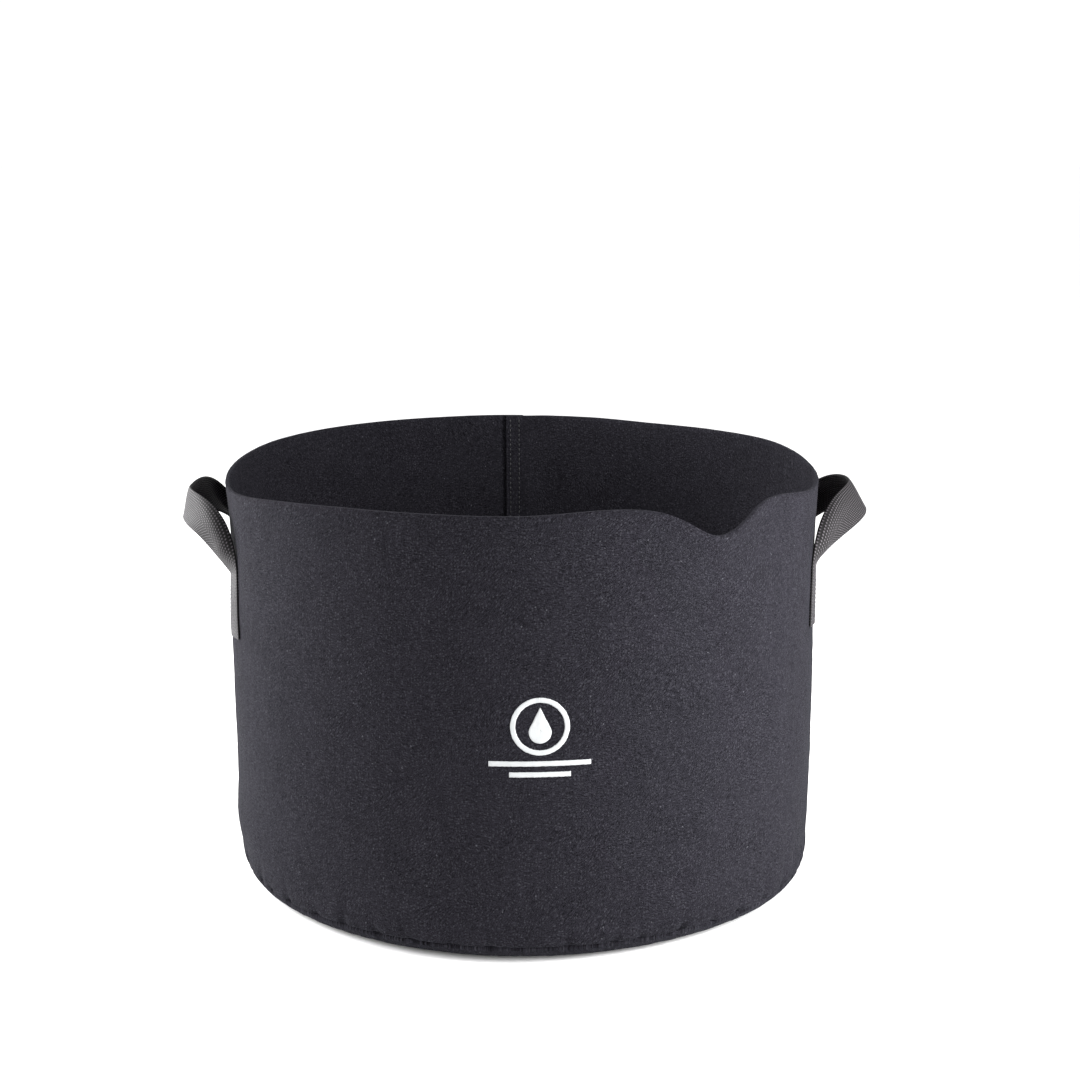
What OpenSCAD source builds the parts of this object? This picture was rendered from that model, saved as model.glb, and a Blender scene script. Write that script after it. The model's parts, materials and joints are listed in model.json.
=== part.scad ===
// Round fabric grow bag: a felt wall and base sewn together, with two webbing loop handles.
// Millimetres, +Z up, the bag's axis on Z and its base on Z = 0.
// The printed front faces -Y and the handles are on the X axis.

/* [Bag] */
// Outside diameter of the wall
bag_d = 416; // [380:2:460]
// Height from the ground to the rim
bag_h = 292; // [285:1:330]
// Thickness of the felt
felt_t = 3; // [2.5:0.5:3.5]
// Outside radius of the rounded lower corner
corner_r = 20; // [18:1:32]

/* [Seams] */
// Angle of the base seam below the corner's centre, in degrees
seam_angle = 28; // [25:1:40]
// Width of the seam allowance, which is turned to the inside
allowance = 8; // [6:0.5:10]
// Overlap of the wall strip's two ends at the back
lap_w = 14; // [12:1:20]
// Diameter of the sewing thread
thread_d = 0.9; // [0.7:0.1:1.1]
// Distance from one stitch to the next
stitch_pitch = 8; // [7:0.5:12]

/* [Handles] */
// Width of the handle webbing
web_w = 25.4; // [20:0.1:26]
// Thickness of the handle webbing
web_t = 1.6; // [1.4:0.1:1.8]
// Height of the axis about which a loop folds
fold_z = 223; // [215:1:225]
// Length of the sewn tab below the fold
tab_len = 45; // [40:1:60]
// Sideways distance from the handle's middle to a tab's middle at the fold
tab_t = 54; // [52:0.5:56]
// Slant of the tabs from upright, in degrees
tab_slant = 8; // [6:0.5:10]

/* [Printed mark] */
// Width of the mark
mark_w = 64; // [50:1:90]
// Height of the mark's middle
mark_z = 152; // [120:1:180]
// Thickness of the ink
ink_t = 0.2; // [0.2:0.05:0.4]

/* [Hidden] */
$fn = 128;

felt = [0.17, 0.17, 0.19];
webbing = [0.24, 0.24, 0.26];
thread = [0.10, 0.10, 0.11];
ink = [0.92, 0.92, 0.90];

bag_r = bag_d / 2;
inner_r = bag_r - felt_t;
corner_c = bag_r - corner_r;
ply_gap = 0.1;                 // between the two plies of the base seam
web_gap = 0.05;                // between the webbing and the felt it is sewn to
fold_gap = 2;                  // from the fold axis to the tab below and to the loop above
tab_r0 = bag_r + web_gap;
tab_r1 = tab_r0 + web_t;
stitch_len = stitch_pitch * 0.65;

// A loop's two edges from its root to its crown, as cubic curves. Each point is [sideways from
// the handle's middle, outward from the wall's radius, up from the fold].
upper_edge = [[66.6, -9.4, fold_gap], [52, -2.5, 48], [20, 28, 54.5], [0, 28, 54.5]];
lower_edge = [[41, -2.5, fold_gap], [43.5, 8, 20], [21.5, 36, 31.5], [0, 36, 31.5]];
loop_steps = 18;               // stations in each half of a loop

function bezier(p, u) =
    pow(1 - u, 3) * p[0] + 3 * u * pow(1 - u, 2) * p[1] + 3 * u * u * (1 - u) * p[2] + pow(u, 3) * p[3];
function unit(v) = v / norm(v);

// ---- felt -------------------------------------------------------------------------------

// The round lower corner's profile, from angle a0 to a1, measured down from level
module corner_arc(a0, a1) {
    reach = corner_r * 2;
    translate([corner_c, corner_r])
    intersection() {
        difference() {
            circle(r = corner_r);
            circle(r = corner_r - felt_t);
        }
        polygon([[0, 0], [reach * cos(a0), -reach * sin(a0)], [reach * cos(a1), -reach * sin(a1)]]);
    }
}

// One ply of the seam allowance: it lies along the corner's radius at the seam angle,
// on the upper side for the wall and on the lower side for the base
module allowance_ply(upper) {
    translate([corner_c, corner_r])
    rotate(-seam_angle)
    translate([corner_r - allowance, upper ? ply_gap / 2 : -felt_t - ply_gap / 2])
    square([allowance, felt_t]);
}

module wall_profile() {
    intersection() {
        union() {
            translate([inner_r, corner_r]) square([felt_t, bag_h - corner_r]);
            corner_arc(0, seam_angle);
            allowance_ply(true);
        }
        // Clear of the base's ply
        translate([corner_c, corner_r])
        rotate(-seam_angle)
        translate([-bag_r, ply_gap / 2])
        square([bag_r * 2, bag_h * 2]);
    }
}

module base_profile() {
    square([corner_c, felt_t]);
    difference() {
        corner_arc(seam_angle, 90);
        translate([corner_c, corner_r])
        rotate(-seam_angle)
        translate([0, -ply_gap / 2])
        square(corner_r * 2);
    }
    allowance_ply(false);
}

// An upright strip on a cylinder at the back, between two radii
module back_strip(r0, r1, width, z0, z1) {
    angle = width / r0 * 180 / PI;
    rotate([0, 0, 90 - angle / 2])
    translate([0, 0, z0])
    rotate_extrude(angle = angle)
    translate([r0, 0])
    square([r1 - r0, z1 - z0]);
}

module wall_panel() {
    slit_w = 0.6;              // the line where the strip's outer end stops
    slit_depth = 1.2;
    lap_z = corner_r + 4;
    color(felt)
    difference() {
        union() {
            rotate_extrude() wall_profile();
            back_strip(inner_r - felt_t, inner_r + felt_t / 4, lap_w, lap_z, bag_h);
        }
        rotate([0, 0, -lap_w / 2 / bag_r * 180 / PI])
        back_strip(bag_r - slit_depth, bag_r + 1, slit_w, lap_z, bag_h + 1);
    }
}

module base_panel() {
    color(felt)
    rotate_extrude() base_profile();
}

// ---- thread -----------------------------------------------------------------------------

// A straight stitch lying along Z
module stitch(length) {
    cylinder(d = thread_d, h = length, center = true, $fn = 16);
}

// Two rows of stitches down the lap at the back
module side_seam_stitches() {
    rows = 2;
    count = floor((bag_h - corner_r - 12) / stitch_pitch);
    color(thread)
    for (row = [0 : rows - 1])
    for (i = [0 : count - 1])
    rotate([0, 0, (row - 0.5) * lap_w * 0.45 / bag_r * 180 / PI])
    translate([0, bag_r, corner_r + 6 + (i + 0.5) * stitch_pitch])
    stitch(stitch_len);
}

// One row through both plies of the seam allowance, all the way round
module base_seam_stitches() {
    row_r = corner_c + (corner_r - allowance * 0.6) * cos(seam_angle);
    row_z = corner_r - (corner_r - allowance * 0.6) * sin(seam_angle);
    count = floor(2 * PI * row_r / stitch_pitch / 2);
    through = 2 * felt_t + ply_gap + thread_d;
    color(thread)
    for (i = [0 : count - 1])
    rotate([0, 0, i * 360 / count])
    translate([row_r, 0, row_z])
    rotate([0, seam_angle, 0])
    stitch(through);
}

// ---- handles ----------------------------------------------------------------------------

// The handle at +X. side is +1 for the tab towards the front and -1 for the one behind it.

// A flat slanted strip outline in the wall's face, seen from outside: [sideways, up]
module tab_outline(side) {
    mirror([side > 0 ? 0 : 1, 0])
    intersection() {
        translate([tab_t, fold_z])
        rotate(tab_slant)
        translate([-web_w / 2, -tab_len])
        square([web_w, tab_len * 2]);
        translate([0, fold_z - fold_gap - tab_len * 2])
        square([tab_len * 3, tab_len * 2]);
    }
}

module tab(side) {
    color(webbing)
    intersection() {
        difference() {
            translate([0, 0, fold_z - tab_len * 1.3])
            cylinder(r = tab_r1, h = tab_len * 1.4);
            translate([0, 0, fold_z - tab_len * 1.4])
            cylinder(r = tab_r0, h = tab_len * 1.6);
        }
        rotate([90, 0, 90])
        linear_extrude(height = bag_r * 1.1)
        mirror([1, 0])
        tab_outline(side);
    }
}

// A row of stitches between two points of the tab, given as [across, along] from its top middle
module tack_row(side, from, to, r) {
    length = norm(to - from);
    count = 2 * round(length / stitch_pitch / 1.1);
    lean = atan2(to[0] - from[0], to[1] - from[1]);
    for (i = [0 : count - 1]) {
        p = from + (to - from) * (i + 0.5) / count;
        t = side * (tab_t + p[0] * cos(tab_slant) - p[1] * sin(tab_slant));
        z = fold_z + p[0] * sin(tab_slant) + p[1] * cos(tab_slant);
        rotate([0, 0, -t / bag_r * 180 / PI])
        translate([r, 0, z])
        rotate([side * (lean - tab_slant), 0, 0])
        stitch(length / count * 0.65);
    }
}

// A box with a cross in it, sewn through the tab and the wall and seen on both faces
module tack(side) {
    half = web_w / 2 - 3;
    top = -8;
    bottom = -tab_len + 4;
    inset = 0.84;              // the cross stops short of the box's corners
    middle = [0, (top + bottom) / 2];
    corners = [[-half, bottom], [half, bottom], [half, top], [-half, top]];
    tips = [for (c = corners) middle + (c - middle) * inset];
    color(thread)
    for (r = [tab_r1, inner_r]) {
        for (i = [0 : 3]) tack_row(side, corners[i], corners[(i + 1) % 4], r);
        for (i = [0 : 1]) tack_row(side, tips[i], tips[i + 2], r);
    }
}

// The loop is a strip swept between its two edge curves, from the front root over the crown
// to the rear root
module loop() {
    count = 2 * loop_steps + 1;
    u = [for (i = [0 : count - 1]) 1 - abs(i / loop_steps - 1)];
    s = [for (i = [0 : count - 1]) i < loop_steps ? 1 : -1];
    upper = [for (i = [0 : count - 1]) let (p = bezier(upper_edge, u[i])) [p[0] * s[i], p[1], p[2]]];
    lower = [for (i = [0 : count - 1]) let (p = bezier(lower_edge, u[i])) [p[0] * s[i], p[1], p[2]]];
    mid = (upper + lower) / 2;
    points = [for (i = [0 : count - 1])
        let (along = mid[min(i + 1, count - 1)] - mid[max(i - 1, 0)])
        let (out = unit(cross(along, upper[i] - lower[i])) * web_t / 2)
        for (p = [upper[i] - out, upper[i] + out, lower[i] + out, lower[i] - out])
        [bag_r + p[1], -p[0], fold_z + p[2]]];
    sides = [for (i = [0 : count - 2]) for (k = [0 : 3])
        let (a = 4 * i + k, b = 4 * i + (k + 1) % 4)
        for (f = [[a, b, b + 4], [a, b + 4, a + 4]]) f];
    last = 4 * (count - 1);
    ends = [[0, 2, 1], [0, 3, 2], [last, last + 1, last + 2], [last, last + 2, last + 3]];
    color(webbing)
    polyhedron(points = points, faces = concat(sides, ends));
}

module left_side() {
    mirror([1, 0, 0]) children();
}

module right_handle_front_tab() { tab(1); }
module right_handle_rear_tab() { tab(-1); }
module right_handle_loop() { loop(); }
module right_front_tack_stitches() { tack(1); }
module right_rear_tack_stitches() { tack(-1); }
module left_handle_front_tab() { left_side() tab(1); }
module left_handle_rear_tab() { left_side() tab(-1); }
module left_handle_loop() { left_side() loop(); }
module left_front_tack_stitches() { left_side() tack(1); }
module left_rear_tack_stitches() { left_side() tack(-1); }

// ---- printed mark -----------------------------------------------------------------------

// A drop in a ring, over two ground lines
module mark_outline() {
    ring_r = mark_w * 0.29;
    line = mark_w * 0.05;
    drop_r = ring_r * 0.38;
    translate([0, mark_w * 0.12]) {
        difference() {
            circle(r = ring_r);
            circle(r = ring_r - line);
        }
        translate([0, -drop_r * 0.55]) {
            circle(r = drop_r);
            polygon([[-drop_r * 0.9, drop_r * 0.43], [drop_r * 0.9, drop_r * 0.43], [0, drop_r * 2.3]]);
        }
    }
    for (bar = [[1, -0.28], [0.6, -0.39]])
    translate([-mark_w * bar[0] / 2, mark_w * bar[1]])
    square([mark_w * bar[0], line]);
}

module printed_mark() {
    ink_r = bag_r + 0.03;
    color(ink)
    intersection() {
        difference() {
            translate([0, 0, mark_z - mark_w]) cylinder(r = ink_r + ink_t, h = mark_w * 2);
            translate([0, 0, mark_z - mark_w * 1.1]) cylinder(r = ink_r, h = mark_w * 2.2);
        }
        translate([0, 0, mark_z])
        rotate([90, 0, 0])
        linear_extrude(height = bag_r * 1.1)
        mark_outline();
    }
}

wall_panel();
base_panel();
side_seam_stitches();
base_seam_stitches();
left_handle_front_tab();
left_handle_rear_tab();
left_handle_loop();
right_handle_front_tab();
right_handle_rear_tab();
right_handle_loop();
left_front_tack_stitches();
left_rear_tack_stitches();
right_front_tack_stitches();
right_rear_tack_stitches();
printed_mark();
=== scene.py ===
"""A round felt grow bag with webbing handles: the looks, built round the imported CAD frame.

Metres, +Z up, the bag's axis on Z. Azimuth 0 is the printed front at -Y and +90 the side at +X.
"""

import json
import math

import bpy
import numpy as np
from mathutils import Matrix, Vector

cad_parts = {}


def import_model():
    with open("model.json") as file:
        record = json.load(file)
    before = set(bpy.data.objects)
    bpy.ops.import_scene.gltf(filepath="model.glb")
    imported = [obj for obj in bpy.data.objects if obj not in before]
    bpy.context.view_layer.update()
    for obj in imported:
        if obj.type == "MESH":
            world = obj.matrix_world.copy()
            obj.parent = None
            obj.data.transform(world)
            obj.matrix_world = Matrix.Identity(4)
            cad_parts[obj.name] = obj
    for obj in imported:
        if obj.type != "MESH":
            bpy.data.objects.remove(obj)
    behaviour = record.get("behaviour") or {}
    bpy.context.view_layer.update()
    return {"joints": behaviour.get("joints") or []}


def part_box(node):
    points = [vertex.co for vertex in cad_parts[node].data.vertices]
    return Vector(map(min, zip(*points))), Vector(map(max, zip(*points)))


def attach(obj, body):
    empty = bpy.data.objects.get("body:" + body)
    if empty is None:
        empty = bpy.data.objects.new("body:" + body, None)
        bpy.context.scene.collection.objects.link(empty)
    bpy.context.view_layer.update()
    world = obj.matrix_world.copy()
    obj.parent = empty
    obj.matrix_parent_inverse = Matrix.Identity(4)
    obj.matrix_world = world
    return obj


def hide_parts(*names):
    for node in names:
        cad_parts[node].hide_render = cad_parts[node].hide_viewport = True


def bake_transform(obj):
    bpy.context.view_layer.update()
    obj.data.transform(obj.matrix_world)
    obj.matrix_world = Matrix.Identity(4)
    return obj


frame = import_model()

MM = 0.001
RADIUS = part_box("wall_panel")[1].x          # outside of the wall
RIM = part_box("wall_panel")[1].z             # height of the rim
FELT = 3.0 * MM                             # thickness of the felt
CORNER = 20 * MM                            # outside radius of the lower corner
SEAM_ANGLE = math.radians(28)               # the base seam, below the corner's centre
ALLOWANCE = 8 * MM                          # seam allowance, turned inside
PRESSED = 2.3 * MM                          # thickness of the felt where it is sewn
LAP = 14 * MM                               # overlap of the wall's ends at the back
WEB_W = 25.4 * MM                           # width of the webbing
WEB_T = 1.6 * MM                            # thickness of the webbing
YARN = 1.5 * MM                             # width of one column of the webbing's weave
FLOAT = 2.0 * MM                            # length of one of its repeats
LEAN = 2.6                                  # columns over which its herringbone moves on one repeat
DASH_SHARE = 0.55                           # how much of its relief is the herringbone, not the columns
RIB = 0.22 * MM                             # height of its raised yarns on the face
BACK_RIB = 0.17 * MM                        # and on the back
BACK_SHIFT = 0.95 * MM                      # how far the back's yarns lie along from the face's
CURL = 11.5 * MM                            # how strongly a leg's upper edge curls over
CROWN_CURL = 0.12                           # the share of that curl left at a loop's crown
CURL_GROWS = 58                             # rows beyond the fold over which the curl grows
CURL_FADES = (80, 190)                      # rows beyond the fold between which it fades again
EASE_ROWS, EASE_ROUNDS = 16, 6              # rows across each fold that are smoothed, and how often
FOLD = frame["joints"][0]["pos_m"][2]       # height of the fold at a loop's root
SIDES = {"left": -1, "right": 1}            # the handles' sides on the X axis
TAB_LEN = {"left": 43.6 * MM, "right": 39.4 * MM}   # sewn length below the fold
TAB_OFF = 54 * MM                           # from the handle's middle to a tab's middle, at the fold
SIDE_PITCH = 4.0 * MM                       # stitch length along the side seam
BASE_PITCH = 4.4 * MM                       # along the base seam
TACK_PITCH = 3.0 * MM                       # in the tacks
TAB_SLANT = math.radians(8)                 # of the tabs from upright
CORNER_MID = RADIUS - CORNER                # radius at which the lower corner's arc is centred
CLEAR = 0.05 * MM                           # gap that keeps sewn layers from touching
MARK_Z = 152.3 * MM                         # height of the printed mark's middle
MARK_AZ = 0.8                               # its azimuth
INK_LIFT = 0.22 * MM                        # how far the ink stands off the felt
INK_SINK = 0.1 * MM                         # how far its back lies in the felt
INK_WOBBLE = 0.12 * MM                      # how uneven its edges are

# How the rim's height, and how far it flares, change round the bag: azimuth, spread, millimetres
RIM_RISES = [(-77.5, 18, -9.5), (77.5, 16, -10), (34.5, 6, -20), (11.5, 8, 2.4), (-160, 25, 2)]
RIM_FLARES = [(-82, 16, 3.5), (88, 18, 2.0), (35, 7, 5.0), (140, 20, -2.5), (-140, 24, 1.5)]
FLARE_TALL = 75 * MM                        # how far below the rim the flare starts
# Where the wall is pushed out or in: azimuth, spread, height, spread up, millimetres
WALL_PUSHES = [
    (-15, 25, 160, 90, 1.0),
    (-86, 25, 175, 35, 1.5), (-86, 25, 125, 25, 0.5), (-86, 22, 42, 13, 2.1),
    (-80, 20, 22, 7, -1.5), (-62, 16, 5, 9, 1.2),
    (86, 25, 110, 45, 1.9), (80, 20, 22, 8, -1.0), (66, 14, 6, 9, 2.6), (48, 14, 5, 10, 1.8),
]


# ---- numbers ----------------------------------------------------------------------------

def smooth(x, low, high):
    """0 up to low, 1 from high on, and an S-curve between."""
    t = np.clip((x - low) / (high - low), 0, 1)
    return t * t * (3 - 2 * t)


def hump(az, centre, spread):
    """A bell curve round the bag: 1 at the centre, in degrees of azimuth."""
    away = (az - centre + 180) % 360 - 180
    return np.exp(-0.5 * (away / spread) ** 2)


def grain(az, z, size, seed):
    """Smooth random values from -1 to 1 in cells of that size, which meet all the way round."""
    wide, up = max(3, round(2 * math.pi * RADIUS / size)), 512
    table = np.random.RandomState(seed).uniform(-1, 1, (wide, up))
    u, v = (az / 360 % 1) * wide, z / size + up / 2
    i, j = np.floor(u).astype(int), np.floor(v).astype(int)
    fu, fv = u - i, v - j
    fu, fv = fu * fu * (3 - 2 * fu), fv * fv * (3 - 2 * fv)
    i0, i1, j0, j1 = i % wide, (i + 1) % wide, j % up, (j + 1) % up
    low = table[i0, j0] * (1 - fu) + table[i1, j0] * fu
    high = table[i0, j1] * (1 - fu) + table[i1, j1] * fu
    return low * (1 - fv) + high * fv


def around(az, r, z):
    """The point at an azimuth in degrees, a radius and a height."""
    a = np.radians(az)
    return np.stack([r * np.sin(a), -r * np.cos(a), z + 0 * r], -1)


# ---- the bag's shape ----------------------------------------------------------------------

def rim_height(az):
    """Height of the wall's upper edge."""
    rise = sum(hump(az, c, s) * mm for c, s, mm in RIM_RISES)
    return RIM + rise * MM + 0.7 * MM * grain(az, 0 * az, 60 * MM, 11)


def pucker_places():
    """The small folds above the base seam: azimuth, spread, depth and height in millimetres, lean."""
    rng = np.random.RandomState(5)
    places = np.cumsum(rng.uniform(5.0, 8.6, 80))
    ranges = ((0.42, 0.6), (1.8, 3.6), (5, 11), (-0.12, 0.12))
    return [(a, *(rng.uniform(low, high) for low, high in ranges)) for a in places[places < 356]]


PUCKERS = pucker_places()


def wall_swell(az, z):
    """How far the wall stands out from a true cylinder, in metres."""
    az, z = np.broadcast_arrays(np.asarray(az, float), np.asarray(z, float))
    # Broad unevenness, which fades towards the ground
    out = 0.9 * grain(az, z, 95 * MM, 3) + 0.45 * grain(az, z, 38 * MM, 4)
    out = out * smooth(z, 0, 60 * MM)
    for c, s, mm in RIM_FLARES:
        out = out + mm * hump(az, c, s) * smooth(z, RIM - FLARE_TALL, RIM) ** 2
    for c, s, h, sh, mm in WALL_PUSHES:
        out = out + mm * hump(az, c, s) * np.exp(-0.5 * ((z / MM - h) / sh) ** 2)
    seam_z = CORNER - CORNER * math.sin(SEAM_ANGLE)
    for c, s, mm, tall, lean in PUCKERS:
        up = (z - seam_z) / MM
        fade = np.exp(-np.clip(up, 0, None) / tall) * smooth(up, -4, 2)
        out = out - mm * fade * hump(az, c + lean * up, s * (1 + np.clip(up, 0, None) / 22))
    return out * MM


def felt_nap(az, z, seed):
    """The felt's own uneven surface, in metres."""
    return MM * (0.16 * grain(az, z, 5.5 * MM, seed) + 0.10 * grain(az, z, 3.0 * MM, seed + 1))


def wall_radius(az, z):
    """Outside radius of the upright part of the wall."""
    return RADIUS + wall_swell(az, z) + felt_nap(az, z, 21)


def on_wall(az, z, lift):
    """The point that far off the wall's outer face."""
    return around(az, wall_radius(az, z) + lift, z)


# ---- meshes -------------------------------------------------------------------------------

def piece(name, points, faces, material, uv=None):
    """A smooth-shaded mesh object. uv has one pair of metres for each point."""
    mesh = bpy.data.meshes.new(name)
    mesh.from_pydata(np.asarray(points).tolist(), [], [list(map(int, f)) for f in faces])
    mesh.validate()
    mesh.polygons.foreach_set("use_smooth", [True] * len(mesh.polygons))
    if uv is not None:
        layer = mesh.uv_layers.new(name="cloth")
        corner = np.zeros(len(mesh.loops), np.int32)
        mesh.loops.foreach_get("vertex_index", corner)
        layer.data.foreach_set("uv", np.asarray(uv, np.float32)[corner].ravel())
    mesh.materials.append(material)
    made = bpy.data.objects.new(name, mesh)
    bpy.context.scene.collection.objects.link(made)
    return made


def tube_faces(rows, ring, caps=True):
    """Quads between rows of a ring's points, and a ladder of faces over each end."""
    faces = []
    for i in range(rows - 1):
        a, b = i * ring, (i + 1) * ring
        for k in range(ring):
            n = (k + 1) % ring
            faces.append((a + k, a + n, b + n, b + k))
    if caps:
        faces += ladder(0, ring, True) + ladder((rows - 1) * ring, ring, False)
    return faces


def ladder(start, ring, turned):
    """Faces over a long thin ring, from one side to the other."""
    faces = []
    for k in range(ring // 2 - 1):
        quad = [start + k, start + k + 1, start + ring - 2 - k, start + ring - 1 - k]
        if quad[1] == quad[2]:
            quad = quad[:2] + quad[3:]
        faces.append(quad if turned else quad[::-1])
    return faces


# ---- felt panels --------------------------------------------------------------------------

WALL_COLUMNS, WALL_ROWS = 760, 66           # points round the wall, and up its straight part
STEP_IN = 1.04 * FELT                       # how far the wall's under end steps in at the lap
STEP_START, STEP_END = 0.5, 5.5             # degrees beyond the lap over which it does
RIM_THIN = 0.72                             # share of the felt's thickness at the very rim
BASE_COLUMNS, BASE_RINGS = 540, 33          # points round the base, and rings on its flat part


def seam_profile(upper):
    """The centreline from the inner edge of the seam allowance, out to the fold and on round the
    corner to its end, as [radius, height] points with normals. upper is the wall's ply."""
    fold_r = 1.3 * MM
    half = PRESSED / 2 + CLEAR
    rho = CORNER - FELT / 2
    reach = math.sqrt((rho - fold_r) ** 2 - (half + fold_r) ** 2)
    lean = math.asin((half + fold_r) / (rho - fold_r))
    line, normal = [], []
    for x in np.linspace(CORNER - ALLOWANCE, reach, 6)[:-1]:
        line.append((x, half))
        normal.append((0, -1))
    for a in np.linspace(-math.pi / 2, lean, 7):
        line.append((reach + fold_r * math.cos(a), half + fold_r + fold_r * math.sin(a)))
        normal.append((math.cos(a), math.sin(a)))
    end = SEAM_ANGLE if upper else math.pi / 2 - SEAM_ANGLE
    for a in np.linspace(lean, end, 17)[1:]:
        line.append((rho * math.cos(a), rho * math.sin(a)))
        normal.append((math.cos(a), math.sin(a)))
    line, normal = np.array(line), np.array(normal)
    if not upper:
        line, normal = line * [1, -1], normal * [1, -1]
    turn = np.array([[math.cos(SEAM_ANGLE), -math.sin(SEAM_ANGLE)],
                     [math.sin(SEAM_ANGLE), math.cos(SEAM_ANGLE)]])
    return line @ turn + [CORNER_MID, CORNER], normal @ turn


def lengths(line):
    """The distance along a line of points to each of them."""
    return np.concatenate([[0], np.cumsum(np.linalg.norm(np.diff(line, axis=0), axis=1))])


def nap_share(away):
    """How much of the felt's uneven surface is left near its sewn edge, where it is pressed."""
    return smooth(away, ALLOWANCE * 0.8, ALLOWANCE + 4 * MM)


def half_thickness(away):
    """Half the felt's thickness at a distance from its sewn edge, where it is pressed."""
    return PRESSED / 2 + (FELT - PRESSED) / 2 * smooth(away, ALLOWANCE, ALLOWANCE + 5 * MM)


def felt_wall(material):
    """One strip of felt, its ends lapped at the back and its lower edge turned in at the seam."""
    line, normal = seam_profile(True)
    corner_rows = len(line)
    lap = math.degrees(LAP / RADIUS)
    first, last = 180 - lap / 2, 540 + lap / 2      # the outer end, and the end that lies under it
    az = np.linspace(first, last, WALL_COLUMNS)
    under = 1 - smooth(last - az, lap + STEP_START, lap + STEP_END)
    edge = 1 - 0.45 * MM / (RIM - CORNER)           # just below the rim, where the felt thins
    rise = np.append(np.linspace(0, 1, WALL_ROWS)[1:-1], [edge, 1])
    top = rim_height(az)
    rows_r = np.concatenate([np.tile(line[:, 0], (len(az), 1)),
                             np.full((len(az), len(rise)), RADIUS - FELT / 2)], 1)
    rows_z = np.concatenate([np.tile(line[:, 1], (len(az), 1)),
                             CORNER + (top[:, None] - CORNER) * rise], 1)
    n_r = np.concatenate([normal[:, 0], np.ones(len(rise))])
    n_z = np.concatenate([normal[:, 1], np.zeros(len(rise))])
    along = lengths(line)
    half = np.concatenate([half_thickness(along), np.full(len(rise), FELT / 2)])
    half[-1] *= RIM_THIN
    swell = wall_swell(az[:, None], rows_z)
    shift = swell - STEP_IN * under[:, None]
    keep = np.concatenate([nap_share(along), np.ones(len(rise))])
    outer_off = half + felt_nap(az[:, None], rows_z, 21) * keep
    inner_off = half + felt_nap(az[:, None], rows_z, 31) * keep

    def face(off, sign, pick):
        r = rows_r + (sign * off + shift) * n_r
        z = rows_z + (sign * off + shift * (n_r > 0.05)) * n_z
        return around(az[:, None], r, z)[:, pick]

    rows = rows_z.shape[1]
    every = np.arange(rows)
    inside = np.unique(np.concatenate([every[:corner_rows:2], every[corner_rows::3], every[-2:]]))[::-1]
    shape = np.concatenate([face(outer_off, 1, every), face(inner_off, -1, inside)], 1)
    ring = shape.shape[1]
    up = np.concatenate([along, along[-1] + (rows_z[0, corner_rows:] - CORNER)])
    v = np.concatenate([up[every], up[inside] + 0.5])
    uv = np.stack(np.broadcast_arrays(np.radians(az)[:, None] * RADIUS, v[None, :]), -1)
    faces = tube_faces(len(az), ring)
    wall = piece("felt_wall", shape.reshape(-1, 3), faces, material, uv.reshape(-1, 2))
    cut = (up[-1], math.radians(last - first) * RADIUS)
    return wall, cut


def felt_base(material):
    """The round base, dished up to the seam, with its allowance turned in beside the wall's."""
    line, normal = seam_profile(False)
    line, normal = line[::-1], normal[::-1]
    flat = np.linspace(0.004, CORNER_MID, BASE_RINGS + 1)[:-1]
    line = np.concatenate([np.stack([flat, np.full(len(flat), FELT / 2)], 1), line])
    normal = np.concatenate([np.tile([0.0, -1.0], (len(flat), 1)), normal])
    along = lengths(line)
    away = along[-1] - along
    half = half_thickness(away)
    az = np.linspace(0, 360, BASE_COLUMNS + 1)[:-1]
    swell = wall_swell(az[:, None], line[None, :, 1]) * smooth(line[:, 0], CORNER_MID, RADIUS - 8 * MM)
    nap = felt_nap(az[:, None], line[None, :, 0], 41) * nap_share(away)
    # The base isn't quite flat between its middle and its edge
    lumps = 1.1 * MM * np.clip(grain(az[:, None], line[None, :, 0], 55 * MM, 47), 0, 1)
    lumps = lumps * smooth(line[:, 0], 0.02, 0.06) * (1 - smooth(line[:, 0], 0.15, CORNER_MID))

    def face(sign):
        off = half + nap
        r = line[None, :, 0] + sign * off * normal[:, 0] + swell * (normal[:, 0] > 0)
        z = line[None, :, 1] + sign * off * normal[:, 1] + (lumps if sign < 0 else lumps * 0.5)
        if sign > 0:
            z = np.maximum(z, 0.0)      # nothing goes below the ground
        return around(az[:, None], r, z)

    shape = np.concatenate([face(1), face(-1)[:, ::-1]], 1)
    ring = shape.shape[1]
    points = shape.reshape(-1, 3)
    faces = []
    count = len(az)
    for i in range(count):
        a, b = i * ring, (i + 1) % count * ring
        faces += [(a + k, a + k + 1, b + k + 1, b + k) for k in range(ring - 1)]
    low, high = len(points), len(points) + 1
    points = np.concatenate([points, [[0, 0, points[0, 2]], [0, 0, points[ring - 1, 2]]]])
    for i in range(count):
        a, b = i * ring, (i + 1) % count * ring
        faces += [(low, a, b), (high, b + ring - 1, a + ring - 1)]
    uv = points[:, :2] + 3
    base = piece("felt_base", points, faces, material, uv)
    return base, along[-1]


# ---- handles ------------------------------------------------------------------------------

# The course of each loop's upper and lower edge, in millimetres: sideways from the handle's middle
# (positive to the front), outward from the wall's radius, up from the ground. Each has the
# guide after the front root, the crown, the crown's direction, and the guide before the rear root.
LOOPS = {
    "left": ([(56, -10, 281), (8, 26.5, 277.5), (23, 4, -3), (-66, 18, 281.5)],
             [(50.5, 20, 257), (8, 33, 253), (23.5, -5.5, -3), (-42.5, -3, 259)]),
    "right": ([(50, -8, 275), (5.5, 25, 277), (17, -1, -4), (-59, 5, 274.5)],
              [(41, -3, 236), (7.5, 37.5, 256.5), (25.5, 2.5, -3.5), (-41, 4, 244)]),
}


STRAP_POINTS = (60, 90, 470)                # across the webbing, along a tab and along a loop


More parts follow.
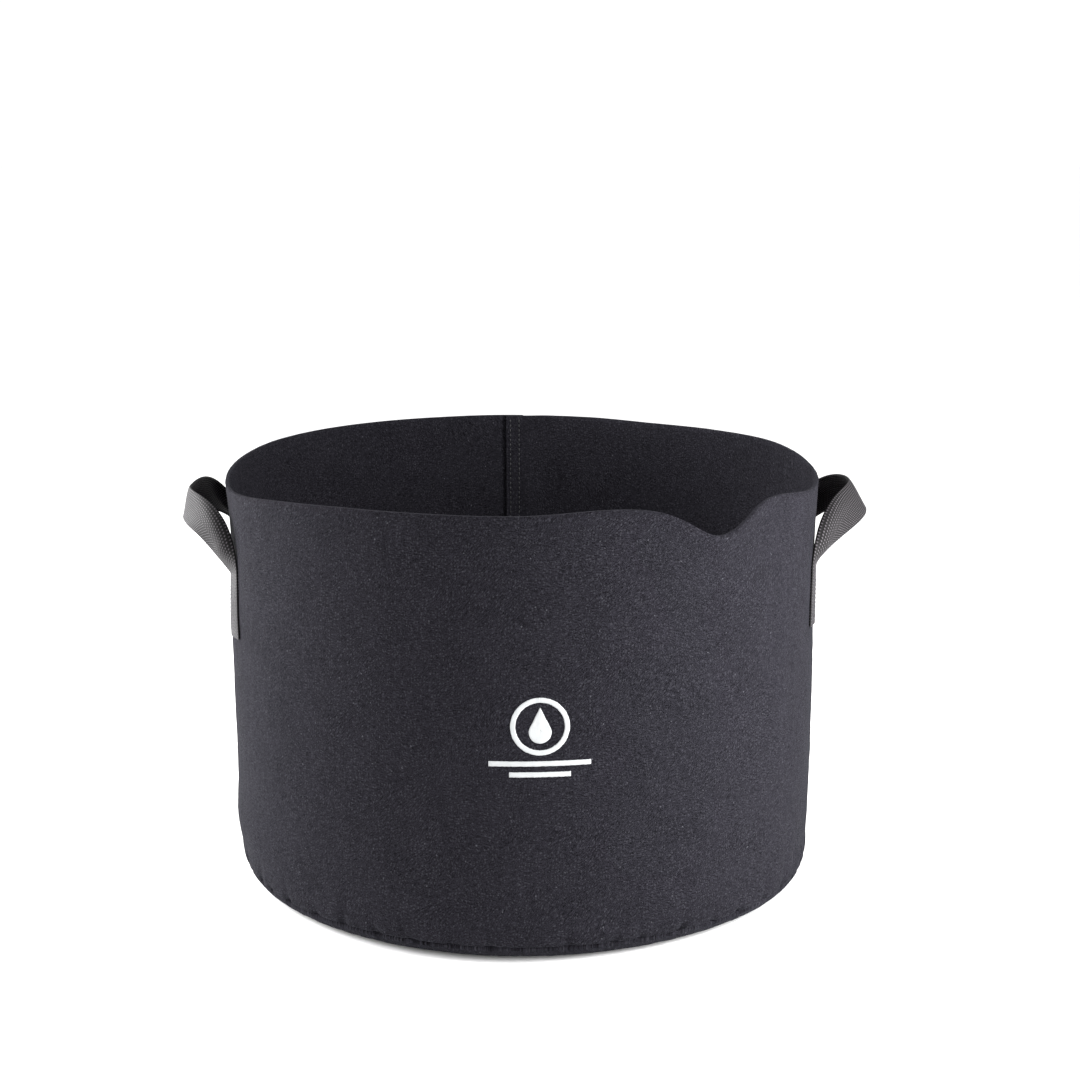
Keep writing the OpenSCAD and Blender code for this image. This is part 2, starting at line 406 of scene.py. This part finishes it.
def bezier(p, u):
    """Points on the cubic curve with four control points."""
    p = np.array(p, float)
    u = u[:, None]
    return (1 - u) ** 3 * p[0] + 3 * u * (1 - u) ** 2 * p[1] + 3 * u * u * (1 - u) * p[2] + u ** 3 * p[3]


def even(line, count):
    """The line again, as that many evenly spaced points."""
    at = lengths(line)
    want = np.linspace(0, at[-1], count)
    return np.stack([np.interp(want, at, line[:, k]) for k in range(line.shape[1])], 1)


def tab_edges(side, count):
    """Both edges of a strap's sewn end, from its cut tip up to the fold: sideways and up."""
    up = np.linspace(-TAB_LEN[side], 0, count)
    edges = []
    for across in (0.5, -0.5):
        t = TAB_OFF + across * WEB_W * math.cos(TAB_SLANT) - up * math.sin(TAB_SLANT)
        z = FOLD + across * WEB_W * math.sin(TAB_SLANT) + up * math.cos(TAB_SLANT)
        edges.append((t, z))
    return edges


def loop_edge(side, which, root, count):
    """One edge of a loop from its front root to its rear root."""
    first, crown, way, last = (np.array(p) * MM for p in LOOPS[side][which])
    u = np.linspace(0, 1, 120)
    front = bezier([root, first, crown + way, crown], u)
    rear = bezier([crown, crown - way, last, root * [-1, 1, 1]], u)
    return even(np.concatenate([front, rear[1:]]), count)


def strap_grid(side, across, tab_count, loop_count):
    """Centre surface of a whole strap: points in [station, across], with x, y, z in metres."""
    side_x = SIDES[side]
    w = np.linspace(0, 1, across)
    (t1, z1), (t2, z2) = tab_edges(side, tab_count)
    lift = WEB_T / 2 + CLEAR
    tabs = []
    for near in (1, -1):
        t = t1[:, None] * (1 - w) + t2[:, None] * w
        z = z1[:, None] * (1 - w) + z2[:, None] * w
        az = side_x * (90 - near * np.degrees(np.arcsin(t / RADIUS)))
        tabs.append(around(az, RADIUS + wall_swell(az, z) + lift, z))
    edges = []
    for which, k in ((0, 0), (1, -1)):
        x, y, z = tabs[0][-1, k]
        root = np.array([-y, side_x * x - RADIUS, z])
        edges.append(loop_edge(side, which, root, loop_count))
    loop = edges[0][:, None, :] * (1 - w)[None, :, None] + edges[1][:, None, :] * w[None, :, None]
    loop = np.stack([side_x * (RADIUS + loop[..., 1]), -loop[..., 0], loop[..., 2]], -1)
    return np.concatenate([tabs[0][:-1], loop, tabs[1][:-1][::-1]], 0)


def eased(grid, rounds, lo, hi):
    """Evens out bends along the strap between two stations."""
    g = grid.copy()
    for _ in range(rounds):
        mid = (g[:-2] + g[2:]) / 2
        g[1:-1][lo:hi] = 0.5 * g[1:-1][lo:hi] + 0.5 * mid[lo:hi]
    return g


def weave(across, along):
    """Height of the herringbone webbing's yarns, from -1 to 1. across is from the middle."""
    column = np.abs(across) / YARN
    dash = np.cos(2 * np.pi * (along / FLOAT - column / LEAN))
    return DASH_SHARE * dash + (1 - DASH_SHARE) * np.cos(2 * np.pi * column)


def outward_of(grid):
    """Unit normals of a strap's centre surface, on the side away from the bag."""
    out = np.cross(np.gradient(grid, axis=0), np.gradient(grid, axis=1))
    out /= np.linalg.norm(out, axis=-1, keepdims=True)
    tab = grid[40, grid.shape[1] // 2] * [1, 1, 0]
    return out if out[40, grid.shape[1] // 2] @ tab > 0 else -out


def strap(side, material):
    """A whole handle, tab to tab, and its length."""
    across, tab_count, loop_count = STRAP_POINTS
    grid = strap_grid(side, across, tab_count, loop_count)
    fold_row = tab_count - 1
    for low in (fold_row - 8, len(grid) - fold_row - 10):
        grid = eased(grid, EASE_ROUNDS, low, low + EASE_ROWS)
    run = lengths(grid[:, across // 2])
    w = (np.linspace(0, 1, across) - 0.5) * WEB_W
    station = np.arange(len(grid))
    nearest = np.minimum(station, len(grid) - 1 - station)
    free = smooth(nearest, fold_row, fold_row + CURL_GROWS)
    free *= 1 - (1 - CROWN_CURL) * smooth(nearest, *(fold_row + row for row in CURL_FADES))
    share = w / WEB_W + 0.5
    crown = CURL * free[:, None] * (1 - share) * (1 - np.exp(-share / 0.2))
    grid = grid + outward_of(grid) * crown[..., None]
    out = outward_of(grid)
    body = 1 - smooth(np.abs(w), WEB_W / 2 - 0.9 * MM, WEB_W / 2)       # 0 at the thin selvages
    half = WEB_T / 2 * (0.45 + 0.55 * body)
    ribs = RIB * weave(w[None, :], run[:, None]) * (0.3 + 0.7 * body)
    back_ribs = BACK_RIB * weave(w[None, :], run[:, None] + BACK_SHIFT) * (0.3 + 0.7 * body)
    face = grid + out * (half + ribs)[..., None]
    back = grid - out * (half + back_ribs)[..., None]
    shape = np.concatenate([face, back[:, ::-1]], 1)
    uv_face = np.stack(np.broadcast_arrays(w[None, :], run[:, None]), -1)
    uv = np.concatenate([uv_face, uv_face[:, ::-1]], 1)
    faces = tube_faces(len(grid), 2 * across)
    made = piece(side + "_strap", shape.reshape(-1, 3), faces, material, uv.reshape(-1, 2))
    return made, run[-1]


# ---- thread -------------------------------------------------------------------------------

THREAD_T, TACK_T = 0.85 * MM, 0.7 * MM      # thickness of the seams' and of the tacks' thread
STITCH_RING, STITCH_ROWS = 7, 8             # points round a stitch, and along it


def stitches(name, runs, material, thickness=THREAD_T):
    """Short rounded stitches. Each run is (start, end, out): where the thread comes up, where it
    goes down, and the way out of the cloth."""
    ring, rows = STITCH_RING, STITCH_ROWS
    points, faces = [], []
    for run in runs:
        start, end, out = (np.asarray(p, float) for p in run)
        along = end - start
        side = np.cross(out, along)
        side /= np.linalg.norm(side)
        base = len(points)
        for i in range(rows):
            t = i / (rows - 1)
            # The thread stands out in the middle, and is thinner and sunk in the cloth at its ends
            rise = 0.42 * thickness * math.sin(math.pi * t) ** 0.6 - 0.28 * thickness
            fat = thickness / 2 * (0.45 + 0.55 * math.sin(math.pi * t) ** 0.5)
            mid = start + along * t + out * rise
            for k in range(ring):
                a = 2 * math.pi * k / ring
                points.append(mid + fat * (math.cos(a) * side + math.sin(a) * out))
        faces += [tuple(base + v for v in f) for f in tube_faces(rows, ring, caps=False)]
        faces.append(tuple(base + k for k in range(ring))[::-1])
        faces.append(tuple(base + (rows - 1) * ring + k for k in range(ring)))
    return piece(name, points, faces, material)


def row_of(path, pitch, share=0.72):
    """Starts and ends of stitches along a path of points, evenly spaced."""
    at = lengths(path)
    count = max(1, round(at[-1] / pitch))
    step = at[-1] / count

    def spot(d):
        return np.array([np.interp(d, at, path[:, k]) for k in range(path.shape[1])])

    middles = [(i + 0.5) * step for i in range(count)]
    return [(spot(m - share / 2 * step), spot(m + share / 2 * step)) for m in middles]


def outward(point, inward=False):
    """The level unit vector away from the bag's axis, or towards it."""
    flat = np.array([point[0], point[1], 0.0])
    flat /= np.linalg.norm(flat)
    return -flat if inward else flat


SEAM_ROWS = 0.26                            # how far each row lies from the lap's middle, of its width


def side_seam(material):
    """Two rows down the lap at the back, seen outside and inside."""
    runs = []
    zs = np.linspace(CORNER + 8 * MM, rim_height(np.array(180.0)) - 2.5 * MM, 200)
    for row in (-1, 1):
        az = 180 + row * math.degrees(SEAM_ROWS * LAP / RADIUS)
        for depth, inward in ((0, False), (-2.06 * FELT, True)):
            path = around(az, RADIUS + wall_swell(az, zs) + depth, zs)
            for start, end in row_of(path, SIDE_PITCH):
                runs.append((start, end, outward(start, inward)))
    return stitches("side_seam_thread", runs, material)


def base_seam(material):
    """One row through both turned-in plies, with stitches on the outside of each."""
    deep = CORNER - 0.55 * ALLOWANCE
    thick = PRESSED + 0.1 * MM
    runs = []
    az = np.linspace(0, 360, 1441)
    normal = np.array([math.sin(SEAM_ANGLE), math.cos(SEAM_ANGLE)])
    for side in (1, -1):
        r = CORNER_MID + deep * math.cos(SEAM_ANGLE) + side * thick * normal[0]
        z = CORNER - deep * math.sin(SEAM_ANGLE) + side * thick * normal[1]
        path = around(az, np.full(len(az), r), np.full(len(az), z))
        for start, end in row_of(path, BASE_PITCH):
            out = outward(start) * normal[0] + np.array([0, 0, normal[1]])
            runs.append((start, end, side * out))
    return stitches("base_seam_thread", runs, material)


TACK_IN, TACK_LOW, TACK_HIGH = 2.8 * MM, 4 * MM, 8 * MM     # from the tab's edges, tip and fold


def tack_path(side, near, across, up, lift):
    """Points in a tab's own frame, in metres, laid on the tab (lift > 0) or inside the wall."""
    side_x = SIDES[side]
    up = up - TAB_LEN[side]
    t = TAB_OFF + across * math.cos(TAB_SLANT) - up * math.sin(TAB_SLANT)
    z = FOLD + across * math.sin(TAB_SLANT) + up * math.cos(TAB_SLANT)
    az = side_x * (90 - near * np.degrees(np.arcsin(t / RADIUS)))
    return around(az, RADIUS + wall_swell(az, z) + lift, z)


def tack(name, side, near, material):
    """A box with a cross, sewn through the tab and the wall."""
    half, low, high = WEB_W / 2 - TACK_IN, TACK_LOW, TAB_LEN[side] - TACK_HIGH
    corners = [(-half, low), (half, low), (half, high), (-half, high)]
    lines = [(corners[i], corners[(i + 1) % 4]) for i in range(4)]
    lines += [(corners[0], corners[2]), (corners[1], corners[3])]
    runs = []
    for (a0, u0), (a1, u1) in lines:
        t = np.linspace(0, 1, 60)
        across, up = a0 + (a1 - a0) * t, u0 + (u1 - u0) * t
        on_tab = tack_path(side, near, across, up, WEB_T + CLEAR)
        inside = tack_path(side, near, across, up, -FELT)
        for path, inward in ((on_tab, False), (inside, True)):
            for start, end in row_of(path, TACK_PITCH):
                runs.append((start, end, outward(start, inward)))
    return stitches(name, runs, material, thickness=TACK_T)


# ---- printed mark -------------------------------------------------------------------------

def patch(outline_rows):
    """A grid of points given as rows, as vertices and quads."""
    rows, cols = outline_rows.shape[:2]
    faces = [(i * cols + k, i * cols + k + 1, (i + 1) * cols + k + 1, (i + 1) * cols + k)
             for i in range(rows - 1) for k in range(cols - 1)]
    return outline_rows.reshape(-1, 2), faces


# The mark's proportions, as shares of its width, but the drop's of the ring's radius and its own
RING_R, LINE_W, RING_UP = 0.29, 0.05, 0.12
DROP_R, DROP_TIP, DROP_DOWN, HEART_UP = 0.38, 2.3, 0.55, 0.15
BARS = ((1, -0.28), (0.6, -0.39))           # each bar's length and height


def mark_patches():
    """A drop in a ring over two ground lines, flat, in metres from the mark's middle."""
    lo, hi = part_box("printed_mark")
    width = hi.x - lo.x
    ring_r, line = width * RING_R, width * LINE_W
    turn = np.linspace(0, 2 * math.pi, 181)
    circle = np.stack([np.sin(turn), np.cos(turn)], -1)
    middle = np.array([0, width * RING_UP])
    radii = np.linspace(ring_r - line, ring_r, 5)
    parts = [patch(middle + circle[None] * radii[:, None, None])]
    drop_r = ring_r * DROP_R
    lean = math.asin(1 / DROP_TIP)
    tip = np.array([0, DROP_TIP * drop_r])
    arc = np.linspace(math.pi / 2 - lean, 3 * math.pi / 2 + lean, 70)
    belly = drop_r * np.stack([np.sin(arc), np.cos(arc)], -1)
    sides = [tip + (belly[0] - tip) * s for s in np.linspace(0, 1, 16)[:-1]]
    back = [belly[-1] + (tip - belly[-1]) * s for s in np.linspace(0, 1, 16)[1:]]
    rim = np.array(sides + list(belly) + back)
    heart = np.array([0, HEART_UP * drop_r])
    share = np.linspace(0.002, 1, 9)[:, None, None]
    parts.append(patch(middle + [0, -DROP_DOWN * drop_r] + heart + (rim - heart)[None] * share))
    for long, low in BARS:
        x = np.linspace(-0.5, 0.5, 61) * width * long
        y = np.linspace(0, line, 4) + low * width
        parts.append(patch(np.stack(np.meshgrid(x, y), -1)))
    return parts


def printed_mark(material):
    """The mark's ink, a thin skin on the wall with slightly uneven edges."""
    points, faces = [], []
    for flat, quads in mark_patches():
        base = len(points)
        uneven = [INK_WOBBLE * grain(flat[:, 0] * 1e3, flat[:, 1], 2.3 * MM, seed) for seed in (61, 62)]
        az = np.degrees((flat[:, 0] + uneven[0]) / RADIUS) + MARK_AZ
        z = MARK_Z + flat[:, 1] + uneven[1]
        front = on_wall(az, z, INK_LIFT)
        rear = on_wall(az, z, -INK_SINK)
        count = len(front)
        points += list(front) + list(rear)
        faces += [tuple(base + v for v in q) for q in quads]
        faces += [tuple(base + count + v for v in q[::-1]) for q in quads]
        edges = {}
        for q in quads:
            for a, b in zip(q, q[1:] + q[:1]):
                edges[(a, b)] = edges.get((a, b), 0) + 1
        for a, b in edges:
            if (b, a) not in edges:
                faces.append((base + b, base + a, base + count + a, base + count + b))
    return piece("printed_ink", points, faces, material)


# ---- materials ----------------------------------------------------------------------------

# The felt's fibres: direction in degrees and length in millimetres, and the width of all
FIBRES, FIBRE_W = ((4, 4.2), (58, 3.2), (-44, 4.2), (92, 3.2)), 0.42
# The shades that each material goes between, and the felt's lint
FELT_SHADES = ((0.0016, 0.0015, 0.0020), (0.0190, 0.0181, 0.0233), (0.11, 0.11, 0.125))
# The webbing's two shades are painted: painted shade in the gaps of its weave, and painted sheen on its
# raised yarns
WEB_SHADE_AND_SHEEN = ((0.0022, 0.0019, 0.0022), (0.079, 0.0705, 0.0795))
THREAD_SHADES = ((0.004, 0.004, 0.0045), (0.02, 0.02, 0.023))
INK_SHADES = ((0.38, 0.39, 0.395), (0.2, 0.2, 0.21))


def new_material(name):
    """A material with its node tree and its shader."""
    material = bpy.data.materials.new(name)
    material.use_nodes = True
    tree = material.node_tree
    shader = tree.nodes["Principled BSDF"]
    return material, tree, shader


def add(tree, kind, links=(), **values):
    """A node with its inputs and settings. links are (input, socket) pairs."""
    made = tree.nodes.new("ShaderNode" + kind)
    for key, value in values.items():
        if hasattr(made, key):
            setattr(made, key, value)
        else:
            made.inputs[key.replace("_", " ")].default_value = value
    for target, source in links:
        tree.links.new(source, made.inputs[target])
    return made


def maths(tree, kind, a, b=None, clamp=False):
    """One Math node of numbers or sockets."""
    made = tree.nodes.new("ShaderNodeMath")
    made.operation, made.use_clamp = kind, clamp
    for i, value in enumerate((a, b)):
        if value is None:
            continue
        if isinstance(value, (int, float)):
            made.inputs[i].default_value = value
        else:
            tree.links.new(value, made.inputs[i])
    return made.outputs[0]


def steps(tree, value, low, high):
    """0 at low, 1 at high, and a straight line between."""
    made = add(tree, "MapRange", [("Value", value)], From_Min=low, From_Max=high, clamp=True)
    return made.outputs[0]


def weighed(tree, a, a_share, b, b_share, clamp=False):
    """Two values added, each times its share."""
    a, b = maths(tree, "MULTIPLY", a, a_share), maths(tree, "MULTIPLY", b, b_share)
    return maths(tree, "ADD", a, b, clamp=clamp)


def rough(tree, shader, base, value, share):
    """Roughness that falls from base by a share of a value."""
    made = maths(tree, "ADD", maths(tree, "MULTIPLY", value, -share), base)
    tree.links.new(made, shader.inputs["Roughness"])


def relief(tree, shader, height, strength, distance):
    """A bump of that height map on the shader's normal."""
    bump = add(tree, "Bump", [("Height", height)], Strength=strength, Distance=distance)
    tree.links.new(bump.outputs[0], shader.inputs["Normal"])


def mixed(tree, share, a, b):
    """The colour between a, at share 0, and b, at share 1. Each is a colour or a socket."""
    made = tree.nodes.new("ShaderNodeMix")
    made.data_type = "RGBA"
    for key, value in (("A", a), ("B", b)):
        socket = [s for s in made.inputs if s.name == key and s.type == "RGBA"][0]
        if isinstance(value, tuple):
            socket.default_value = (*value, 1)
        else:
            tree.links.new(value, socket)
    if isinstance(share, (int, float)):
        made.inputs[0].default_value = share
    else:
        tree.links.new(share, made.inputs[0])
    return [s for s in made.outputs if s.type == "RGBA"][0]


def fibres(tree, coords, turn, length, width, seed):
    """Streaks of one direction, each about length by width in metres."""
    turned = add(tree, "Mapping", [("Vector", coords)])
    turned.inputs["Rotation"].default_value = (0, 0, math.radians(turn))
    turned.inputs["Location"].default_value = (seed * 0.37, seed * 0.71, 0)
    scaled = add(tree, "VectorMath", [(0, turned.outputs[0])], operation="MULTIPLY")
    scaled.inputs[1].default_value = (1 / length, 1 / width, 1)
    noise = add(tree, "TexNoise", [("Vector", scaled.outputs[0])], Scale=1.0, Detail=2.0, Roughness=0.55)
    noise.noise_dimensions = "2D"
    return noise.outputs[0]


def flecks(tree, coords, density, rarity, size, strength):
    """Small light specks: one in some of the cells of that density, per metre."""
    cells = add(tree, "TexVoronoi", [("Vector", coords)], Scale=density)
    cells.voronoi_dimensions = "2D"
    chosen = add(tree, "SeparateColor", [(0, cells.outputs["Color"])]).outputs[0]
    rare = steps(tree, chosen, rarity, rarity + 0.05)
    spot = maths(tree, "MULTIPLY", rare, steps(tree, cells.outputs["Distance"], size, size * 0.4))
    return maths(tree, "MULTIPLY", spot, strength)


def felt_material(name, dark, light, lint):
    """Needle-punched felt: short fibres lying in patches of different directions, lint and pile."""
    material, tree, shader = new_material(name)
    uv = add(tree, "UVMap", uv_map="cloth").outputs[0]
    # Bent coordinates, so that the fibres don't lie straight
    drift = add(tree, "TexNoise", [("Vector", uv)], Scale=22.0, Detail=1.0)
    bent = add(tree, "VectorMath", [(0, drift.outputs["Color"])], operation="SCALE")
    bent.inputs["Scale"].default_value = 0.016
    coords = add(tree, "VectorMath", [(0, uv), (1, bent.outputs[0])], operation="ADD").outputs[0]
    layers = [fibres(tree, coords, turn, length * MM, FIBRE_W * MM, seed)
              for seed, (turn, length) in enumerate(FIBRES, 1)]
    # Two pairs of directions, each in its own patches
    patches = add(tree, "TexNoise", [("Vector", uv)], Scale=20.0, Detail=2.0).outputs[0]
    first = maths(tree, "MAXIMUM", layers[0], maths(tree, "MULTIPLY", layers[1], 0.88))
    second = maths(tree, "MAXIMUM", layers[2], maths(tree, "MULTIPLY", layers[3], 0.86))
    share = steps(tree, patches, 0.44, 0.56)
    blend = add(tree, "Mix", [(0, share), (2, first), (3, second)]).outputs[0]
    streak = steps(tree, blend, 0.45, 0.62)
    # Fine speckle, and broad lighter and darker places
    fine = add(tree, "TexNoise", [("Vector", uv)], Scale=1150.0, Detail=1.0, Roughness=0.5)
    fine.noise_dimensions = "2D"
    speckle = steps(tree, fine.outputs[0], 0.38, 0.66)
    broad = add(tree, "TexNoise", [("Vector", uv)], Scale=45.0, Detail=3.0).outputs[0]
    tone = weighed(tree, streak, 0.58, speckle, 0.42)
    cloudy = maths(tree, "MULTIPLY", steps(tree, broad, 0.3, 0.7), 0.12)
    tone = maths(tree, "ADD", tone, cloudy, clamp=True)
    # Faint lint in many places, and a few brighter pieces
    colour = mixed(tree, tone, dark, light)
    colour = mixed(tree, flecks(tree, coords, 480.0, 0.55, 0.34, 0.12), colour, lint)
    colour = mixed(tree, flecks(tree, coords, 140.0, 0.92, 0.08, 0.45), colour, lint)
    tree.links.new(colour, shader.inputs["Base Color"])
    relief(tree, shader, weighed(tree, streak, 0.7, speckle, 0.5), 0.5, 0.3 * MM)
    rough(tree, shader, 0.95, streak, 0.12)
    shader.inputs["Specular IOR Level"].default_value = 0.03
    shader.inputs["Sheen Weight"].default_value = 0.02
    shader.inputs["Sheen Roughness"].default_value = 0.45
    shader.inputs["Sheen Tint"].default_value = (0.55, 0.58, 0.70, 1)
    return material


def webbing_material(name, dark, light):
    """Herringbone webbing: smoother raised yarns with painted sheen, over gaps with painted shade."""
    material, tree, shader = new_material(name)
    uv = add(tree, "UVMap", uv_map="cloth").outputs[0]
    axes = add(tree, "SeparateXYZ", [(0, uv)])
    across, along = axes.outputs[0], axes.outputs[1]
    aside = maths(tree, "ABSOLUTE", across)
    turn = 2 * math.pi
    repeat = maths(tree, "DIVIDE", along, FLOAT)
    phase = maths(tree, "SUBTRACT", repeat, maths(tree, "DIVIDE", aside, YARN * LEAN))
    dash = maths(tree, "COSINE", maths(tree, "MULTIPLY", phase, turn))
    column = maths(tree, "COSINE", maths(tree, "MULTIPLY", maths(tree, "DIVIDE", aside, YARN), turn))
    height = weighed(tree, dash, DASH_SHARE, column, 1 - DASH_SHARE)
    # The fine strands of each yarn
    strands = add(tree, "VectorMath", [(0, uv)], operation="MULTIPLY")
    strands.inputs[1].default_value = (1 / (0.13 * MM), 1 / (1.6 * MM), 1)
    strand = add(tree, "TexNoise", [("Vector", strands.outputs[0])], Scale=1.0, Detail=2.0)
    strand.noise_dimensions = "2D"
    # The colour goes from painted shade in the gaps to painted sheen on the raised yarns, broken up by
    # the strands
    raised = steps(tree, height, 0.28, 0.9)
    tone = maths(tree, "MULTIPLY", raised, maths(tree, "ADD", strand.outputs[0], 0.45), clamp=True)
    tree.links.new(mixed(tree, tone, dark, light), shader.inputs["Base Color"])
    relief(tree, shader, weighed(tree, height, 0.5, strand.outputs[0], 0.35), 0.6, 0.3 * MM)
    rough(tree, shader, 0.66, raised, 0.22)
    shader.inputs["Specular IOR Level"].default_value = 0.2
    return material


def thread_material(name, dark, light):
    """Twisted sewing thread."""
    material, tree, shader = new_material(name)
    place = add(tree, "TexCoord").outputs["Object"]
    twist = add(tree, "TexNoise", [("Vector", place)], Scale=2600.0, Detail=2.0)
    tree.links.new(mixed(tree, twist.outputs[0], dark, light), shader.inputs["Base Color"])
    relief(tree, shader, twist.outputs[0], 0.5, 0.12 * MM)
    shader.inputs["Roughness"].default_value = 0.5
    return material


def ink_material(name, white, worn):
    """Screen ink that sits on the fibres, a little thin in places."""
    material, tree, shader = new_material(name)
    place = add(tree, "TexCoord").outputs["Object"]
    fine = add(tree, "TexNoise", [("Vector", place)], Scale=1300.0, Detail=3.0, Roughness=0.65).outputs[0]
    broad = add(tree, "TexNoise", [("Vector", place)], Scale=160.0, Detail=2.0).outputs[0]
    gap = maths(tree, "ADD", fine, maths(tree, "MULTIPLY", broad, 0.35))
    share = maths(tree, "MULTIPLY", steps(tree, gap, 0.80, 0.98), 0.55)
    tree.links.new(mixed(tree, share, white, worn), shader.inputs["Base Color"])
    relief(tree, shader, fine, 0.35, 0.2 * MM)
    shader.inputs["Roughness"].default_value = 0.7
    shader.inputs["Specular IOR Level"].default_value = 0.3
    return material


# ---- the stage ----------------------------------------------------------------------------

# The camera, fitted to the photo's outline: millimetres, metres, degrees up from straight down, degrees
LENS, CAMERA_PLACE, CAMERA_TILT, CAMERA_TURN = 61.5, (-0.0448, -1.2993, 0.5137), 77.83, -2.5
# Soft boxes: azimuth, elevation, distance, width, height, watts
LIGHTS = {
    "right_near": (58, 12, 0.75, 0.3, 0.9, 18),
    "left_side": (-95, 20, 1.6, 0.9, 1.4, 64),
    "left_back": (-125, 20, 1.6, 0.9, 1.4, 20),
}
SKY = 1.05                                  # strength of the white light from all round
PALE = (0.97, 0.97, 0.97, 1)                # colour of the floor
FLOOR_REACH = 40.0                          # how far the floor goes, so that its edge isn't seen


def camera():
    """The photo's view."""
    data = bpy.data.cameras.new("camera")
    data.lens, data.sensor_width = LENS, 36
    data.clip_end = 100
    made = bpy.data.objects.new("camera", data)
    made.location = CAMERA_PLACE
    made.rotation_euler = (math.radians(CAMERA_TILT), 0, math.radians(CAMERA_TURN))
    bpy.context.scene.collection.objects.link(made)
    bpy.context.scene.camera = made


def soft_light(name, azimuth, elevation, distance, width, height, watts):
    """A rectangular soft box that faces the bag's middle."""
    data = bpy.data.lights.new(name, "AREA")
    data.shape, data.size, data.size_y, data.energy = "RECTANGLE", width, height, watts
    made = bpy.data.objects.new(name, data)
    a, e = math.radians(azimuth), math.radians(elevation)
    aim = np.array([0, 0, RIM / 2])
    way = np.array([math.sin(a) * math.cos(e), -math.cos(a) * math.cos(e), math.sin(e)])
    place = aim + distance * way
    made.location = place
    made.rotation_euler = Vector(place - aim).to_track_quat("Z", "Y").to_euler()
    bpy.context.scene.collection.objects.link(made)


def floor():
    """A pale ground, part of the stage and not of the bag."""
    rows = np.linspace(-FLOOR_REACH, FLOOR_REACH, 9)
    grid = np.stack(np.meshgrid(rows, rows, [0.0], indexing="ij"), -1).reshape(-1, 3)
    count = len(rows)
    faces = [(i * count + k, (i + 1) * count + k, (i + 1) * count + k + 1, i * count + k + 1)
             for i in range(count - 1) for k in range(count - 1)]
    material, _, shader = new_material("pale_floor")
    shader.inputs["Base Color"].default_value = PALE
    shader.inputs["Roughness"].default_value = 0.9
    made = piece("floor", grid, faces, material)


def world():
    """Even white light from all round."""
    made = bpy.data.worlds.new("studio")
    made.use_nodes = True
    background = made.node_tree.nodes["Background"]
    background.inputs["Color"].default_value = (1, 1, 1, 1)
    background.inputs["Strength"].default_value = SKY
    bpy.context.scene.world = made


# ---- build --------------------------------------------------------------------------------

camera()
world()
floor()
for light, settings in LIGHTS.items():
    soft_light(light, *settings)
bpy.context.scene.view_settings.view_transform = "Standard"

felt = felt_material("felt", *FELT_SHADES)
web = webbing_material("webbing", *WEB_SHADE_AND_SHEEN)
thread = thread_material("thread", *THREAD_SHADES)
ink = ink_material("ink", *INK_SHADES)

wall, wall_cut = felt_wall(felt)
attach(wall, "bag")
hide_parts("wall_panel")

base, base_radius = felt_base(felt)
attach(base, "bag")
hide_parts("base_panel")

for seam, node in ((side_seam(thread), "side_seam_stitches"), (base_seam(thread), "base_seam_stitches")):
    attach(seam, "bag")
    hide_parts(node)

for side, joint in zip(SIDES, frame["joints"]):
    loop, long = strap(side, web)
    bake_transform(loop)
    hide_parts(side + "_handle_loop", side + "_handle_front_tab", side + "_handle_rear_tab")
    for place, near in (("front", 1), ("rear", -1)):
        sewn = tack(f"{side}_{place}_tack_thread", side, near, thread)
        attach(sewn, "bag")
        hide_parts(f"{side}_{place}_tack_stitches")

mark = printed_mark(ink)
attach(mark, "bag")
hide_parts("printed_mark")
